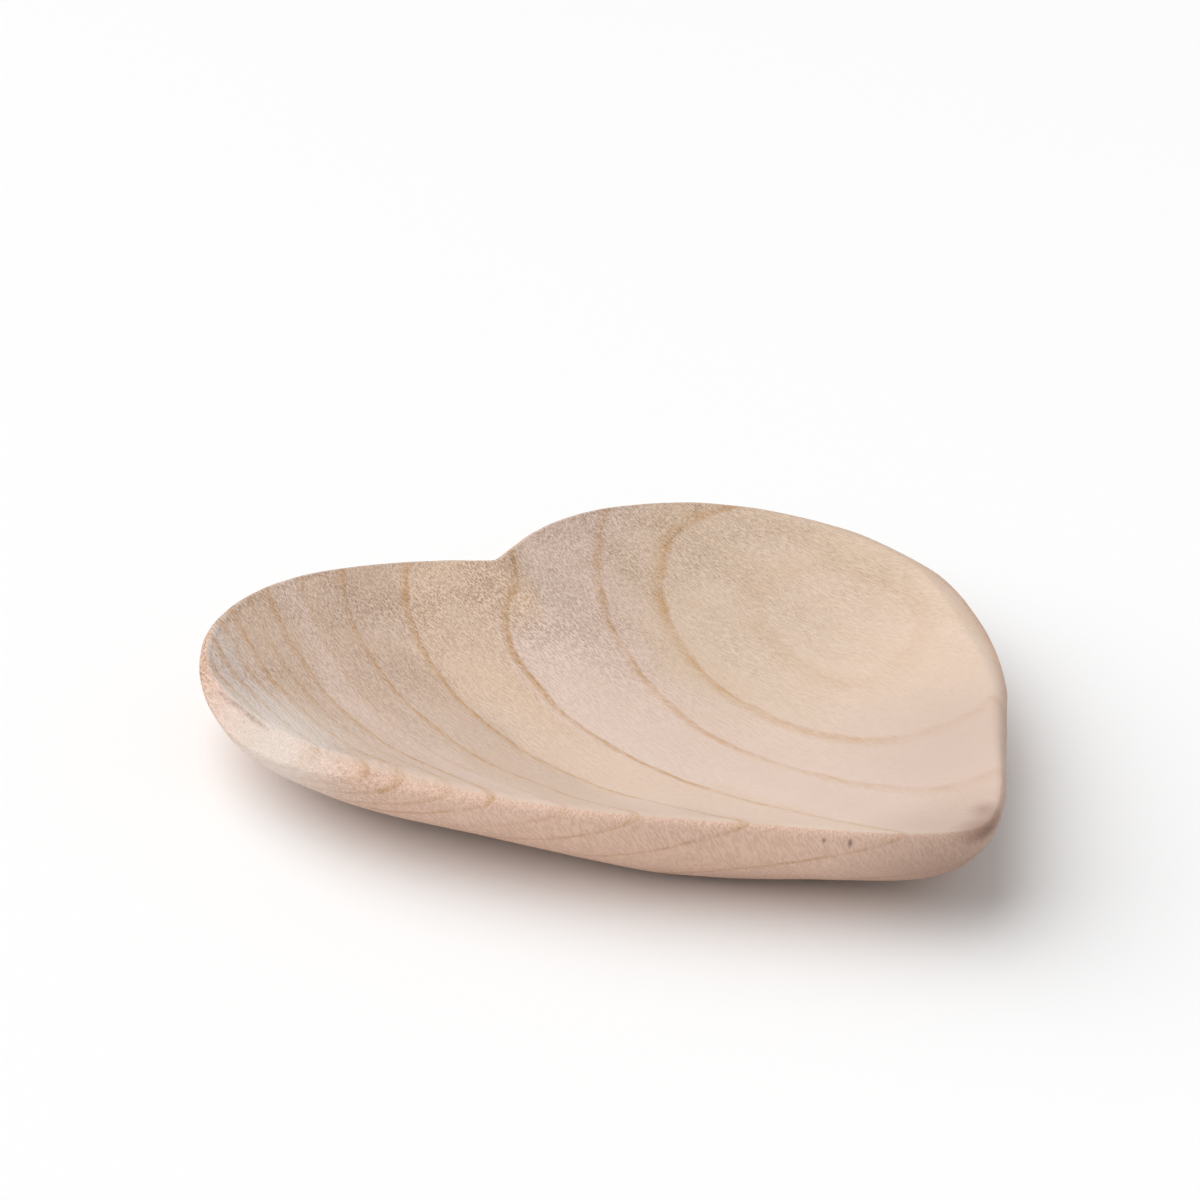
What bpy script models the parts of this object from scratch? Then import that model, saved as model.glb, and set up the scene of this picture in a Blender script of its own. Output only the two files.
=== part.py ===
"""Shallow heart-shaped dish, carved from one solid piece of pale wood.

Metres, +Z up, +Y from the point of the heart to the notch between its lobes. The origin is the
middle of the heart's length and width, on the surface that the dish stands on.
"""

import math

import bmesh
import bpy
from mathutils import Vector
from mathutils.geometry import interpolate_bezier

# Overall size
LENGTH = 0.250  # from the point of the heart to the tops of its lobes
WIDTH = 0.248  # across both lobes
HEIGHT = 0.028

# Outline at its widest, seen from above
NOTCH_DEPTH = 0.0235  # from the tops of the lobes down to the notch
LOBE_SPACING = 0.120  # between the tops of the two lobes
WIDEST_BELOW_TOP = 0.0885  # from the tops of the lobes down to the widest place
FLANK_HALF_WIDTH = 0.061  # half the width where the flank is straightest
FLANK_ABOVE_POINT = 0.0485  # height of that place above the point of the heart
FLANK_HEADING = math.radians(41.5)  # slope of the flank there, from the X axis

# Outer wall: how far the base lies inside the outline, by the angle from the notch
BASE_INSET_NOTCH = 0.020
BASE_INSET_SIDE = 0.044
BASE_INSET_FLANK = 0.026
BASE_INSET_POINT = 0.040
SIDE_ANGLE = math.radians(95)
FLANK_ANGLE = math.radians(150)
WALL_ROUNDNESS = 1.67  # 1 is a straight chamfer, 2 a quarter of an ellipse

# Rim and hollow
RIM_RADIUS = 0.0025  # rounding of the rim's crest
RIM_TURN = math.radians(18)  # how far the rounding goes on past the crest, into the hollow
FLOOR_THICKNESS = 0.013  # wood left under the deepest place
HOLLOW_POWER = 2.0  # 2 is a parabola, and more has a flatter floor and a steeper edge
HOLLOW_SOFTENING = 1 / 12  # share of the way round, to each side, that rounds the hollow's floor

# Fineness of the mesh
OUTLINE_STEPS = 132  # points once round, an even number
CURVE_STEPS = 64  # points along each curve before they are spaced evenly
WALL_STEPS = 6
RIM_STEPS = 6
HOLLOW_STEPS = 9

PALE_WOOD = (0.63, 0.47, 0.37, 1.0)
WOOD_ROUGHNESS = 0.62


def clear_scene():
    for found in list(bpy.data.objects):
        bpy.data.objects.remove(found, do_unlink=True)


def half_outline_anchors():
    """Each anchor is a place, the way the outline heads there, and its pull before and after.

    The pull is how far the curve follows that heading, as a share of the way to the next anchor.
    """
    top = LENGTH / 2
    notch = Vector((0, top - NOTCH_DEPTH))
    lobe_top = Vector((LOBE_SPACING / 2, top))
    widest = Vector((WIDTH / 2, top - WIDEST_BELOW_TOP))
    flank = Vector((FLANK_HALF_WIDTH, FLANK_ABOVE_POINT - LENGTH / 2))
    point = Vector((0, -LENGTH / 2))
    right = Vector((1, 0))
    down = Vector((0, -1))
    down_flank = Vector((-math.cos(FLANK_HEADING), -math.sin(FLANK_HEADING)))
    return [
        (notch, right, 0.0, 0.07),
        (lobe_top, right, 0.55, 0.28),
        (widest, down, 0.47, 0.30),
        (flank, down_flank, 0.23, 0.50),
        (point, -right, 0.16, 0.0),
    ]


def half_outline():
    """Closely spaced points from the notch round the +X lobe to the point of the heart."""
    points = []
    anchors = half_outline_anchors()
    for here, there in zip(anchors, anchors[1:]):
        start, start_way, _, start_pull = here
        end, end_way, end_pull, _ = there
        reach = (end - start).length
        handle = start + start_way * reach * start_pull
        other_handle = end - end_way * reach * end_pull
        curve = interpolate_bezier(start, handle, other_handle, end, CURVE_STEPS)
        points += curve[1:] if points else curve
    return points


def evenly_spaced(points, steps):
    """The same line as steps equal stretches, so steps + 1 points."""
    travelled = [0.0]
    for a, b in zip(points, points[1:]):
        travelled.append(travelled[-1] + (b - a).length)
    spaced = []
    i = 0
    for step in range(steps + 1):
        wanted = travelled[-1] * step / steps
        while i < len(points) - 2 and travelled[i + 1] < wanted:
            i += 1
        share = (wanted - travelled[i]) / (travelled[i + 1] - travelled[i])
        spaced.append(points[i].lerp(points[i + 1], min(share, 1.0)))
    return spaced


def outline():
    """Points once round the heart, from the notch by way of the +X lobe."""
    half = evenly_spaced(half_outline(), OUTLINE_STEPS // 2)
    mirrored = [Vector((-p.x, p.y)) for p in reversed(half[1:-1])]
    return half + mirrored


def base_inset(edge):
    """How far the base lies inside this point of the outline, eased from place to place."""
    places = [
        (0.0, BASE_INSET_NOTCH),
        (SIDE_ANGLE, BASE_INSET_SIDE),
        (FLANK_ANGLE, BASE_INSET_FLANK),
        (math.pi, BASE_INSET_POINT),
    ]
    angle = math.atan2(abs(edge.x), edge.y)
    for (before, inset), (after, next_inset) in zip(places, places[1:]):
        if angle <= after:
            break
    share = (angle - before) / (after - before)
    return inset + (next_inset - inset) * (1 - math.cos(math.pi * share)) / 2


def softened_reaches(edges):
    """The distance from the middle at each point, averaged with the points to each side of it."""
    window = round(len(edges) * HOLLOW_SOFTENING)
    reaches = [edge.length for edge in edges]
    return [
        sum(reaches[(i + j) % len(edges)] for j in range(-window, window + 1)) / (2 * window + 1)
        for i in range(len(edges))
    ]


def section(edge, soft_reach):
    """(distance from the middle, height) of each ring at this point of the outline, base first."""
    reach = edge.length
    inset = base_inset(edge)
    wall_top = HEIGHT - RIM_RADIUS
    rings = []
    for step in range(WALL_STEPS):
        angle = math.pi / 2 * step / WALL_STEPS
        across = math.sin(angle) ** (2 / WALL_ROUNDNESS)
        down = math.cos(angle) ** (2 / WALL_ROUNDNESS)
        rings.append((reach - inset * (1 - across), wall_top * (1 - down)))
    for step in range(RIM_STEPS + 1):
        angle = (math.pi / 2 + RIM_TURN) * step / RIM_STEPS
        over = RIM_RADIUS * (1 - math.cos(angle))
        rings.append((reach - over, wall_top + RIM_RADIUS * math.sin(angle)))
    inner_reach, inner_height = rings[-1]
    for step in range(HOLLOW_STEPS - 1, 0, -1):
        share = step / HOLLOW_STEPS
        heart_shaped = share * share * (3 - 2 * share)
        full_reach = soft_reach + (inner_reach - soft_reach) * heart_shaped
        rise = (inner_height - FLOOR_THICKNESS) * share**HOLLOW_POWER
        rings.append((full_reach * share, FLOOR_THICKNESS + rise))
    return rings


def build_dish():
    """One closed skin: flat base, flared wall, rounded rim and shallow hollow."""
    edges = outline()
    mesh = bmesh.new()
    columns = []
    for edge, soft_reach in zip(edges, softened_reaches(edges)):
        way = edge.normalized()
        rings = section(edge, soft_reach)
        columns.append([mesh.verts.new((way.x * r, way.y * r, z)) for r, z in rings])
    base_middle = mesh.verts.new((0, 0, 0))
    floor_middle = mesh.verts.new((0, 0, FLOOR_THICKNESS))
    for here, there in zip(columns, columns[1:] + columns[:1]):
        mesh.faces.new((base_middle, here[0], there[0]))
        for low in range(len(here) - 1):
            mesh.faces.new((here[low], here[low + 1], there[low + 1], there[low]))
        mesh.faces.new((floor_middle, there[-1], here[-1]))
    bmesh.ops.recalc_face_normals(mesh, faces=mesh.faces)
    data = bpy.data.meshes.new("heart_dish")
    mesh.to_mesh(data)
    mesh.free()
    data.shade_smooth()
    return data


def pale_wood():
    material = bpy.data.materials.new("pale_wood")
    material.use_nodes = True
    shader = material.node_tree.nodes["Principled BSDF"]
    shader.inputs["Base Color"].default_value = PALE_WOOD
    shader.inputs["Roughness"].default_value = WOOD_ROUGHNESS
    shader.inputs["Metallic"].default_value = 0.0
    return material


def main():
    clear_scene()
    dish = bpy.data.objects.new("heart_dish", build_dish())
    dish.data.materials.append(pale_wood())
    bpy.context.scene.collection.objects.link(dish)


main()
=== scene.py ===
"""Looks of the heart-shaped dish: its fine carved skin, its wood, and a plain studio.

Places are in the frame of the part: +Z up, +Y from the heart's point to its notch. The skin is
worked out in metres, and the wood's own pattern in millimetres.
"""

import math

import bpy
import numpy as np
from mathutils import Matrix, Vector, noise
from mathutils.geometry import interpolate_bezier


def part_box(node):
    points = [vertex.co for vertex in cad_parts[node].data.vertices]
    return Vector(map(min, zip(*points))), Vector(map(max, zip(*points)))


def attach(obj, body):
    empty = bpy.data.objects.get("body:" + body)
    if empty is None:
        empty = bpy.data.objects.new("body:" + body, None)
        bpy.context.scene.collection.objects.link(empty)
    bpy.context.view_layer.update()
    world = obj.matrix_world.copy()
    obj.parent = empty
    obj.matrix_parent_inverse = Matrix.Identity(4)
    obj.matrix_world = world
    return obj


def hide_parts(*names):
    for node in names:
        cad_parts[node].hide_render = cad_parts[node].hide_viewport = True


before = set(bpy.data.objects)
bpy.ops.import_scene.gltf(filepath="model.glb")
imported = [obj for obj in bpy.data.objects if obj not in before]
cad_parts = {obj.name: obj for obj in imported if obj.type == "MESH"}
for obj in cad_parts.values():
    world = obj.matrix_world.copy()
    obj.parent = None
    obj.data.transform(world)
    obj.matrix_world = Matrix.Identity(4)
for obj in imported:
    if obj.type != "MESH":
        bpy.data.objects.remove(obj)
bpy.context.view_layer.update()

MM = 0.001
NODE = "heart_dish"
LOW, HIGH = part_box(NODE)
LENGTH = HIGH.y - LOW.y
WIDTH = HIGH.x - LOW.x
HEIGHT = HIGH.z

# The outline at its widest, as the part has it
NOTCH_DEPTH = 0.0235
LOBE_SPACING = 0.120
WIDEST_BELOW_TOP = 0.0885
FLANK_HALF_WIDTH = 0.061
FLANK_ABOVE_POINT = 0.0485
FLANK_HEADING = math.radians(41.5)

# The outer wall and the hollow, as the part has them
BASE_INSETS = ((0, 0.020), (95, 0.044), (150, 0.026), (180, 0.040))  # by degrees from the notch
WALL_ROUNDNESS = 1.67
RIM_TURN = math.radians(18)
FLOOR_THICKNESS = 0.013
HOLLOW_POWER = 2.0
HOLLOW_SOFTENING = 1 / 12

# How the rim rolls over: the bearing from the notch in degrees, positive towards +X, then how far
# the crest lies inside the widest outline, and how far above it
RIM_ROLLS = (
    (-180, 0.0018, 0.0020),
    (-125, 0.0028, 0.0025),
    (-97, 0.0066, 0.0040),
    (-75, 0.0062, 0.0042),
    (-55, 0.0028, 0.0025),
    (45, 0.0028, 0.0025),
    (80, 0.0075, 0.0030),
    (104, 0.0075, 0.0030),
    (140, 0.0035, 0.0025),
    (180, 0.0018, 0.0020),
)
INNER_ROLL = 0.005  # radius of the rim's inner side

# Flat knife cuts left on the rim: bearing and upward tilt in degrees, and depth
KNIFE_CUTS = (
    (-66, 38, 0.0008),
    (-84, 44, 0.0018),
    (-101, 48, 0.0028),
    (-152, 40, 0.0008),
    (96, 42, 0.0012),
    (24, 40, 0.0008),
)
CUT_SOFTNESS = 0.0008  # how far sanding has rounded the edges of a cut
DEEPEST_PLACE = (0.0013, -0.0095)  # where the hollow is deepest
UNEVENNESS = 0.00035  # how far the hand-carved skin wanders
UNEVENNESS_SPAN = 0.026  # and over what distance
UNEVENNESS_SUNK = 0.65  # the share of it that all the skin is sunk by, so that nothing stands out
FLAT_BASE_BAND = 0.004  # height over which the flat base gives way to the uneven wall

# Fineness of the skin
OUTLINE_STEPS = 640
CURVE_STEPS = 300
WALL_STEPS = 36
RIM_STEPS = 20
HOLLOW_STEPS = 64


# ---------------------------------------------------------------- the skin


def half_outline():
    """Closely spaced points from the notch round the +X lobe to the point of the heart."""
    top = LENGTH / 2
    right = Vector((1, 0))
    down = Vector((0, -1))
    down_flank = Vector((-math.cos(FLANK_HEADING), -math.sin(FLANK_HEADING)))
    anchors = [
        (Vector((0, top - NOTCH_DEPTH)), right, 0.0, 0.07),
        (Vector((LOBE_SPACING / 2, top)), right, 0.55, 0.28),
        (Vector((WIDTH / 2, top - WIDEST_BELOW_TOP)), down, 0.47, 0.30),
        (Vector((FLANK_HALF_WIDTH, FLANK_ABOVE_POINT - top)), down_flank, 0.23, 0.50),
        (Vector((0, -top)), -right, 0.16, 0.0),
    ]
    points = []
    for (start, way, _, pull), (end, end_way, end_pull, _) in zip(anchors, anchors[1:]):
        reach = (end - start).length
        handle = start + way * reach * pull
        other_handle = end - end_way * reach * end_pull
        curve = interpolate_bezier(start, handle, other_handle, end, CURVE_STEPS)
        points += curve[1:] if points else curve
    return np.array([(p.x, p.y) for p in points])


def outline():
    """Evenly spaced points once round the heart, from the notch by way of the +X lobe."""
    half = half_outline()
    travelled = np.concatenate([[0], np.cumsum(np.linalg.norm(np.diff(half, axis=0), axis=1))])
    wanted = np.linspace(0, travelled[-1], OUTLINE_STEPS // 2 + 1)
    half = np.stack([np.interp(wanted, travelled, half[:, i]) for i in (0, 1)], 1)
    return np.vstack([half, (half[1:-1] * [-1, 1])[::-1]])


def eased(bearing, places, column=1):
    """A value that eases from place to place round the dish."""
    value = np.full(len(bearing), float(places[0][column]))
    for before, after in zip(places, places[1:]):
        share = np.clip((bearing - before[0]) / (after[0] - before[0]), 0, 1)
        value += (after[column] - before[column]) * (1 - np.cos(math.pi * share)) / 2
    return value


def softened(reach):
    """Each distance from the middle, averaged with those to each side of it."""
    window = round(len(reach) * HOLLOW_SOFTENING)
    around = np.concatenate([reach[-window:], reach, reach[:window]])
    return np.convolve(around, np.ones(2 * window + 1) / (2 * window + 1), "valid")


def skin_rings():
    """The skin as rings of points, from the edge of the base up, over the rim and inwards."""
    edge = outline()
    reach = np.linalg.norm(edge, axis=1)
    way = edge / reach[:, None]
    bearing = np.degrees(np.arctan2(edge[:, 0], edge[:, 1]))
    inset = eased(np.abs(bearing), BASE_INSETS)
    roll = eased(bearing, RIM_ROLLS, 1)
    rise = eased(bearing, RIM_ROLLS, 2)
    wall_top = HEIGHT - rise
    rings = []

    def ring(distance, height, middle=(0, 0)):
        places = way * distance[:, None] + middle
        rings.append(np.column_stack([places, height]))

    for step in range(WALL_STEPS):
        turn = math.pi / 2 * step / WALL_STEPS
        across = math.sin(turn) ** (2 / WALL_ROUNDNESS)
        down = math.cos(turn) ** (2 / WALL_ROUNDNESS)
        ring(reach - inset * (1 - across), wall_top * (1 - down))
    for step in range(RIM_STEPS):
        turn = math.pi / 2 * step / RIM_STEPS
        ring(reach - roll * (1 - math.cos(turn)), wall_top + rise * math.sin(turn))
    for step in range(RIM_STEPS // 2 + 1):
        turn = RIM_TURN * step / (RIM_STEPS // 2)
        inner_reach = reach - roll - INNER_ROLL * math.sin(turn)
        inner_height = HEIGHT - INNER_ROLL * (1 - math.cos(turn))
        ring(inner_reach, np.full(len(reach), inner_height))

    # The hollow starts where the rim's rounding ends
    soft_reach = softened(reach)
    for step in range(HOLLOW_STEPS - 1, -1, -1):
        share = step / HOLLOW_STEPS
        heart_shaped = share * share * (3 - 2 * share)
        full_reach = soft_reach + (inner_reach - soft_reach) * heart_shaped
        height = FLOOR_THICKNESS + (inner_height - FLOOR_THICKNESS) * share**HOLLOW_POWER
        middle = np.array(DEEPEST_PLACE) * (1 - share * share)
        ring(full_reach * share, np.full(len(reach), height), middle)
    return np.array(rings)


def pared(points, bearing, tilt, depth):
    """The skin with what stands beyond one flat knife cut taken back to it."""
    turn = math.radians(bearing)
    lean = math.radians(tilt)
    level = math.cos(lean)
    way = np.array([math.sin(turn) * level, math.cos(turn) * level, math.sin(lean)])
    beyond = points @ way
    beyond += depth - beyond.max()
    taken = CUT_SOFTNESS * np.logaddexp(0, beyond / CUT_SOFTNESS)
    return points - taken[..., None] * way


def wander(place):
    """How far the hand-carved skin is out at a place, from about -1 to 1."""
    place = Vector(place) / UNEVENNESS_SPAN
    broad = noise.noise(place)
    fine = noise.noise(place * 2.7)
    return broad + 0.35 * fine


def roughen(mesh):
    """Sink the skin a little here and there, as carving and sanding do, with the base kept flat."""
    places = np.zeros(3 * len(mesh.vertices))
    normals = np.zeros(3 * len(mesh.vertices))
    mesh.vertices.foreach_get("co", places)
    mesh.vertices.foreach_get("normal", normals)
    places = places.reshape(-1, 3)
    normals = normals.reshape(-1, 3)
    sunk = np.array([wander(place) - UNEVENNESS_SUNK for place in places]) * UNEVENNESS
    free = np.clip(places[:, 2] / FLAT_BASE_BAND, 0, 1)
    places += normals * (sunk * free)[:, None]
    mesh.vertices.foreach_set("co", places.ravel())
    mesh.update()


def skin_mesh():
    """The whole closed skin, from the middle of the base round to the middle of the hollow."""
    rings = skin_rings()
    for cut in KNIFE_CUTS:
        rings = pared(rings, *cut)
    levels, around, _ = rings.shape
    last = (levels - 1) * around  # the innermost ring has shrunk to one place
    points = np.vstack([rings.reshape(-1, 3)[: last + 1], [(0, 0, 0)]])
    base_middle = last + 1
    faces = []
    for i in range(around):
        j = (i + 1) % around
        faces.append((base_middle, i, j))
        for low in range(0, last - around, around):
            high = low + around
            faces.append((low + i, high + i, high + j, low + j))
        faces.append((last, last - around + j, last - around + i))
    mesh = bpy.data.meshes.new("carved_dish")
    mesh.from_pydata(points.tolist(), [], faces)
    mesh.update()
    mesh.shade_smooth()
    roughen(mesh)
    return mesh


# ---------------------------------------------------------------- the wood


class Nodes:
    """Short ways to add shader nodes and join them up."""

    def __init__(self, tree):
        self.tree = tree

    def join(self, value, socket):
        if isinstance(value, bpy.types.NodeSocket):
            self.tree.links.new(value, socket)
        else:
            socket.default_value = value

    def add(self, kind, inputs=(), **settings):
        node = self.tree.nodes.new(kind)
        for name, value in settings.items():
            setattr(node, name, value)
        for key, value in dict(inputs).items():
            self.join(value, node.inputs[key])
        return node

    def math(self, operation, a, b=0.0, c=0.0):
        return self.add("ShaderNodeMath", {0: a, 1: b, 2: c}, operation=operation).outputs[0]

    def vector(self, operation, a, b=(0, 0, 0), output=0):
        inputs = {0: a, 1: b}
        return self.add("ShaderNodeVectorMath", inputs, operation=operation).outputs[output]

    def times(self, a, *others):
        for other in others:
            a = self.math("MULTIPLY", a, other)
        return a

    def plus(self, a, *others):
        for other in others:
            a = self.math("ADD", a, other)
        return a

    def between(self, value, low, high, to_low=0.0, to_high=1.0):
        """Eases from to_low at low to to_high at high; low may be more than high."""
        inputs = {0: value, 1: low, 2: high, 3: to_low, 4: to_high}
        return self.add("ShaderNodeMapRange", inputs, interpolation_type="SMOOTHSTEP").outputs[0]

    def stretched(self, place, span):
        """The place measured in spans, which differ along each axis."""
        return self.vector("MULTIPLY", place, [1 / s for s in span])

    def noise(self, place, span, detail=2.0, roughness=0.5):
        inputs = {"Vector": self.stretched(place, span), "Scale": 1.0, "Detail": detail}
        inputs["Roughness"] = roughness
        return self.add("ShaderNodeTexNoise", inputs).outputs[0]

    def cells(self, place, span):
        """Distance from the middle of the nearest cell, in cells."""
        inputs = {"Vector": self.stretched(place, span), "Scale": 1.0}
        return self.add("ShaderNodeTexVoronoi", inputs).outputs["Distance"]

    def mix(self, share, a, b):
        node = self.add("ShaderNodeMix", data_type="RGBA")
        self.join(share, node.inputs[0])
        self.join(a, node.inputs[6])
        self.join(b, node.inputs[7])
        return node.outputs[2]

    def streak(self, place, start, end, width):
        """1 on the line from start to end, falling to 0 at a width away from it."""
        run = Vector(end) - Vector(start)
        away = self.vector("SUBTRACT", place, start)
        share = self.times(self.vector("DOT_PRODUCT", away, run, "Value"), 1 / run.length_squared)
        share = self.add("ShaderNodeClamp", {0: share}).outputs[0]
        away = self.vector("SUBTRACT", away, self.vector("MULTIPLY", share, run))
        return self.between(self.vector("LENGTH", away, output="Value"), width, 0.0)

    def spot(self, place, middle, span):
        """1 at the middle, falling to 0 at one span away along each axis."""
        away = self.stretched(self.vector("SUBTRACT", place, middle), span)
        return self.between(self.vector("LENGTH", away, output="Value"), 1.0, 0.0)


# Where the growth rings start, in millimetres from the pith, and how plain each one's line is
RINGS = (
    (321.5, 0.20),
    (328.0, 0.80),
    (335.2, 0.75),
    (349.9, 1.00),
    (364.2, 1.00),
    (374.6, 0.75),
    (381.8, 0.35),
    (388.9, 0.80),
    (393.0, 0.50),
    (397.7, 0.80),
    (401.3, 0.60),
    (405.1, 0.80),
    (408.7, 0.70),
    (412.2, 0.70),
)
PITH = (133.8, -294.7)  # x and z of the middle of the tree, where y is 0
PITH_LEAN = (0.02, -0.04)  # how far it moves along x and z for each millimetre of y
USUAL_RADIUS = 350.0  # turns an angle round the pith into a distance

# Spans of the pattern in millimetres: round the pith, out from it, and along the grain
VESSEL_SPAN = (0.9, 0.9, 6.0)
FIBRE_SPAN = (0.5, 0.5, 4.0)
RAY_SPAN = (0.45, 3.0, 0.55)
DOT_SPAN = (0.8, 0.8, 3.0)
PORE_DEPTH = 0.0003  # in metres

# The wood's own colour by its distance from the pith, in millimetres; the outermost, blue-grey band
# is painted sheen
CREAM = (0.67, 0.51, 0.38, 1)
PINKISH = (0.71, 0.54, 0.45, 1)
GREYISH = (0.76, 0.59, 0.50, 1)
GOLDEN = (0.74, 0.545, 0.40, 1)
TAN = (0.63, 0.465, 0.355, 1)
# Painted sheen: the blue-grey on the left lobe's steep inner wall, laid over the outermost rings
PAINTED_SHEEN_BLUE_GREY = (0.63, 0.52, 0.46, 1)
BANDS = (
    (318, CREAM),
    (328, CREAM),
    (335, PINKISH),
    (348, GREYISH),
    (351, GOLDEN),
    (363, GOLDEN),
    (366, TAN),
    (380, TAN),
    (385, PINKISH),
    (390, TAN),
    (400, TAN),
    (405, PAINTED_SHEEN_BLUE_GREY),
    (412, PAINTED_SHEEN_BLUE_GREY),
)
# Pale clouds in the wood, and painted light towards the point
PALEST_CLOUD_AND_LIGHT = (0.73, 0.58, 0.49, 1)
DULL = (0.55, 0.42, 0.35, 1)
# Painted light: the pale cream on the left lobe, where the light falls on it
PAINTED_LIGHT_CREAM = (0.77, 0.68, 0.61, 1)
RING_BROWN = (0.52, 0.28, 0.10, 1)
PORE_BROWN = (0.33, 0.19, 0.11, 1)
# The outer wall's own rosy tone, and painted shade where the wall and the rim's outer roll turn
# from the light
SALMON_AND_SHADE = (0.85, 0.56, 0.43, 1)
# Real stains in the wood, and painted shade in the crease where the crest turns at the point
STAIN_AND_SHADE_BROWN = (0.26, 0.15, 0.11, 1)
PIN_BROWN = (0.09, 0.04, 0.02, 1)

# Places with a colour of their own, and some of painted light or painted shade: middle and half
# size along each axis, in millimetres, the colour, and how plain it is
PATCHES = (
    # Painted light on the left lobe's outer wall and rim
    ((-116, 24, 21), (26, 46, 20), PAINTED_LIGHT_CREAM, 0.85),
    ((42, -92, 22), (66, 74, 30), DULL, 0.8),
    ((0, -124, 16), (50, 34, 24), STAIN_AND_SHADE_BROWN, 0.6),
    # Painted shade, in these two: the dark crease where the crest turns at the point, on the
    # hollow's inner side
    ((3, -125, 27), (14, 10, 4), STAIN_AND_SHADE_BROWN, 0.8),
    ((9, -117, 27.5), (6, 8, 2.5), STAIN_AND_SHADE_BROWN, 0.5),
    ((-31.5, -103.8, 25.4), (0.9, 0.9, 1.2), PIN_BROWN, 0.7),
    ((-26.9, -108.0, 24.8), (0.9, 0.9, 2.6), PIN_BROWN, 1.0),
    ((-1.5, 74.5, 20.7), (0.8, 0.9, 1.2), PIN_BROWN, 0.8),
)

# Thin dark lines in the wood: both ends and half the width in millimetres, and how plain
STREAKS = (
    ((92.5, 105.7, 27.7), (62.1, 88.1, 21.7), 0.7, 0.5),
    ((52.1, 97.9, 22.7), (39.1, 89.1, 21.1), 0.6, 0.45),
    ((-119.0, 62.0, 27.0), (-117.5, 26.0, 27.0), 1.3, 0.6),
)


def wood_place(n, place):
    """The place as the tree has it: round the pith, out from the pith, and along the grain."""
    x, y, z = n.add("ShaderNodeSeparateXYZ", {0: place}).outputs
    across = n.math("SUBTRACT", x, n.math("MULTIPLY_ADD", y, PITH_LEAN[0], PITH[0]))
    up = n.math("SUBTRACT", z, n.math("MULTIPLY_ADD", y, PITH_LEAN[1], PITH[1]))
    out = n.math("SQRT", n.plus(n.times(across, across), n.times(up, up)))
    wide_wander = n.between(n.noise(place, (45, 120, 45)), 0.2, 0.8, -0.35, 0.35)
    fine_wander = n.between(n.noise(place, (4, 14, 4)), 0.2, 0.8, -0.13, 0.13)
    around = n.times(n.math("ARCTAN2", across, up), USUAL_RADIUS)
    return around, n.plus(out, wide_wander, fine_wander), y


def growth_rings(n, out):
    """How plain the dark line of a ring is here, and how open the wood just outside it is."""
    line = 0.0
    open_wood = 0.0
    for radius, plainness in RINGS:
        past = n.math("SUBTRACT", out, radius)
        started = n.times(n.between(past, -0.4, 0.1), plainness)
        line = n.math("MAXIMUM", line, n.times(started, n.between(past, 1.5, 0.1)))
        open_wood = n.math("MAXIMUM", open_wood, n.times(started, n.between(past, 7.5, 1.0)))
    return line, open_wood


def banded_colour(n, out):
    """The wood's own colour at this distance from the pith."""
    first = BANDS[0][0]
    span = BANDS[-1][0] - first
    ramp = n.add("ShaderNodeValToRGB", {0: n.math("DIVIDE", n.math("SUBTRACT", out, first), span)})
    stops = ramp.color_ramp.elements
    stops[0].color = BANDS[0][1]
    stops[1].color = BANDS[-1][1]
    for radius, colour in BANDS[1:-1]:
        stops.new((radius - first) / span).color = colour
    return ramp.outputs[0]


def ground_colour(n, place, out, along, outer):
    """The colour under every line and pore: bands, pale clouds, painted light towards the point,
    and a rosy outer wall, partly the wood's own tone and partly painted shade.
    """
    cloud = n.between(n.noise(place, (28, 60, 28), 3.0), 0.2, 0.8, -4.0, 4.0)
    colour = banded_colour(n, n.plus(out, cloud))
    cloudy = n.between(n.noise(place, (18, 70, 18)), 0.35, 0.7, 0.0, 0.3)
    # Painted light: paler towards the point, where the hollow's slope faces the light from behind
    painted_light_towards_point = n.between(along, 50, -90, 0.0, 0.5)
    colour = n.mix(n.plus(cloudy, painted_light_towards_point), colour, PALEST_CLOUD_AND_LIGHT)
    # A rosy outer wall: partly the wood's own tone, partly painted shade where the wall and the
    # rim's outer roll turn from the light
    return n.mix(n.times(outer, 0.65), colour, SALMON_AND_SHADE)


def cut_of_face(n, facing, place):
    """How squarely a face cuts the grain, and whether it faces away from the dish's middle."""
    end_grain = n.math("ABSOLUTE", n.add("ShaderNodeSeparateXYZ", {0: facing}).outputs[1])
    outwards = n.vector("NORMALIZE", n.vector("MULTIPLY", place, (1, 1, 0)))
    outer = n.between(n.vector("DOT_PRODUCT", facing, outwards, "Value"), 0.04, 0.5)
    return end_grain, outer


def open_pores(n, place, grain, along, open_wood):
    """Vessels and fibres: long strokes on the floor, dots where the ends of the grain are cut."""
    # The pores are real; their colour growing plainer towards the notch is painted shade, standing
    # in for their deeper shading where light grazes the far wall
    painted_pore_shade_towards_notch = n.between(along, -80, 100, 0.15, 1.0)
    uneven = n.between(n.noise(place, (20, 34, 20)), 0.3, 0.7, 0.65, 1.1)
    wide_open = n.plus(n.times(open_wood, 0.14), 0.30)
    vessels = n.between(n.cells(grain, VESSEL_SPAN), wide_open, 0.10)
    fibres = n.between(n.noise(grain, FIBRE_SPAN, 2.0, 0.6), 0.40, 0.66)
    strokes = n.math("MAXIMUM", vessels, n.times(fibres, 0.7))
    return n.times(strokes, painted_pore_shade_towards_notch, uneven)


def marked(n, colour, place, dotted):
    """The colour with the patches and the thin dark lines laid over it."""
    for middle, span, tint, share in PATCHES:
        colour = n.mix(n.times(n.spot(place, middle, span), share), colour, tint)
    for start, end, width, share in STREAKS:
        streak = n.times(n.streak(place, start, end, width), dotted, share)
        colour = n.mix(streak, colour, STAIN_AND_SHADE_BROWN)
    return colour


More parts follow.
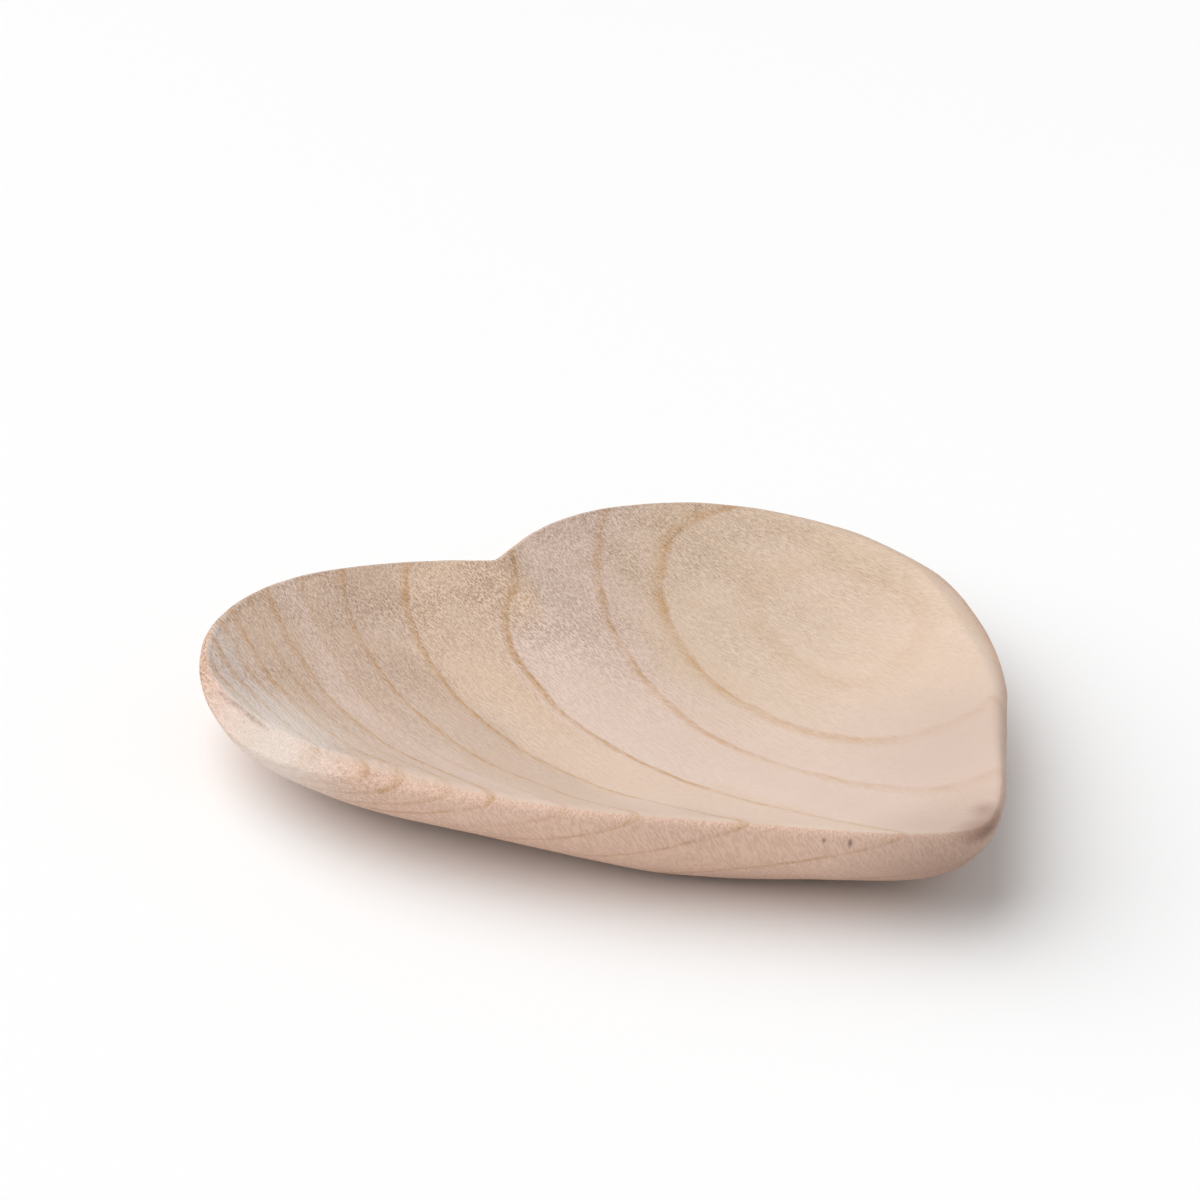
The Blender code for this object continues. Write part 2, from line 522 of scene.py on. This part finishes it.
def pale_wood():
    """Ring-porous pale wood, worked out in the solid, so that each face shows its own cut of it."""
    material = bpy.data.materials.new("pale_wood")
    material.use_nodes = True
    n = Nodes(material.node_tree)
    shader = n.tree.nodes["Principled BSDF"]
    coordinates = n.add("ShaderNodeTexCoord")
    place = n.stretched(coordinates.outputs["Object"], (MM, MM, MM))
    around, out, along = wood_place(n, place)
    grain = n.add("ShaderNodeCombineXYZ", {0: around, 1: out, 2: along}).outputs[0]
    end_grain, outer = cut_of_face(n, coordinates.outputs["Normal"], place)
    line, open_wood = growth_rings(n, out)
    pores = open_pores(n, place, grain, along, open_wood)
    rays = n.times(n.between(n.noise(grain, RAY_SPAN, 1.0), 0.42, 0.66), outer)

    # Each ring's line is broken into patches and dots, and fades towards the point
    patchy = n.between(n.noise(place, (7, 22, 7)), 0.3, 0.65, 0.45, 1.0)
    dotted = n.between(n.noise(grain, DOT_SPAN), 0.35, 0.6, 0.45, 1.0)
    ring_share = n.times(line, patchy, dotted, n.between(along, -110, 50, 0.6, 1.0))
    pore_share = n.times(pores, n.between(end_grain, 0.0, 0.3, 0.45, 1.0))
    colour = ground_colour(n, place, out, along, outer)
    colour = n.mix(ring_share, colour, RING_BROWN)
    colour = n.mix(n.times(rays, 0.22), colour, PORE_BROWN)
    colour = n.mix(pore_share, colour, PORE_BROWN)
    n.join(marked(n, colour, place, dotted), shader.inputs["Base Color"])
    n.join(n.between(pores, 0.0, 1.0, 0.58, 0.8), shader.inputs["Roughness"])
    shader.inputs["Specular IOR Level"].default_value = 0.3

    depth = n.plus(n.times(pores, -1.0), n.times(rays, -0.4), n.times(line, 0.2))
    bump = n.add("ShaderNodeBump", {"Height": depth, "Strength": 0.8, "Distance": PORE_DEPTH})
    n.join(bump.outputs[0], shader.inputs["Normal"])
    return material


# ---------------------------------------------------------------- the studio


FLOOR_HALF_SIZE = 8.0
FLOOR_WHITE = (0.92, 0.92, 0.92, 1)
ROOM_STRENGTH = 0.46
SUN_STRENGTH = 2.55
SUN_SIZE = math.radians(85)  # so wide that its shadow stays soft
SUN_WAY = (0.55, -0.65, -1.0)  # the way its light falls
CAMERA_PLACE = (-0.2840, -0.3748, 0.2080)  # from the middle of the dish's top
CAMERA_DOWN = math.radians(22)  # how far it looks down
CAMERA_TURN = math.radians(34.61)  # how far it is turned from +Y towards +X
CAMERA_LENS = 52.2


def pale_floor():
    half = FLOOR_HALF_SIZE
    corners = [(-half, -half, 0), (half, -half, 0), (half, half, 0), (-half, half, 0)]
    mesh = bpy.data.meshes.new("floor")
    mesh.from_pydata(corners, [], [(0, 1, 2, 3)])
    paint = bpy.data.materials.new("floor_paint")
    paint.use_nodes = True
    shader = paint.node_tree.nodes["Principled BSDF"]
    shader.inputs["Base Color"].default_value = FLOOR_WHITE
    shader.inputs["Roughness"].default_value = 0.9
    mesh.materials.append(paint)
    floor = bpy.data.objects.new("floor", mesh)
    floor.location.z = LOW.z
    bpy.context.scene.collection.objects.link(floor)


def soft_light():
    """An even white room, and one broad light from behind the left lobe."""
    world = bpy.data.worlds.new("studio")
    world.use_nodes = True
    background = world.node_tree.nodes["Background"]
    background.inputs["Color"].default_value = (1, 1, 1, 1)
    background.inputs["Strength"].default_value = ROOM_STRENGTH
    bpy.context.scene.world = world
    light = bpy.data.lights.new("broad_light", "SUN")
    light.angle = SUN_SIZE
    light.energy = SUN_STRENGTH
    lamp = bpy.data.objects.new("broad_light", light)
    lamp.rotation_euler = Vector(SUN_WAY).to_track_quat("-Z", "Y").to_euler()
    bpy.context.scene.collection.objects.link(lamp)


def camera():
    """Looks down at the dish from beyond its -X flank and its point."""
    lens = bpy.data.cameras.new("camera")
    lens.sensor_width = 36
    lens.lens = CAMERA_LENS
    eye = bpy.data.objects.new("camera", lens)
    middle = (LOW + HIGH) / 2
    eye.location = Vector((middle.x, middle.y, HIGH.z)) + Vector(CAMERA_PLACE)
    eye.rotation_euler = (math.pi / 2 - CAMERA_DOWN, 0, -CAMERA_TURN)
    bpy.context.scene.collection.objects.link(eye)
    bpy.context.scene.camera = eye


def main():
    dish = bpy.data.objects.new("carved_dish", skin_mesh())
    dish.data.materials.append(pale_wood())
    bpy.context.scene.collection.objects.link(dish)
    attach(dish, "root")
    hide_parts(NODE)
    pale_floor()
    soft_light()
    camera()
    bpy.context.scene.view_settings.view_transform = "Standard"


main()
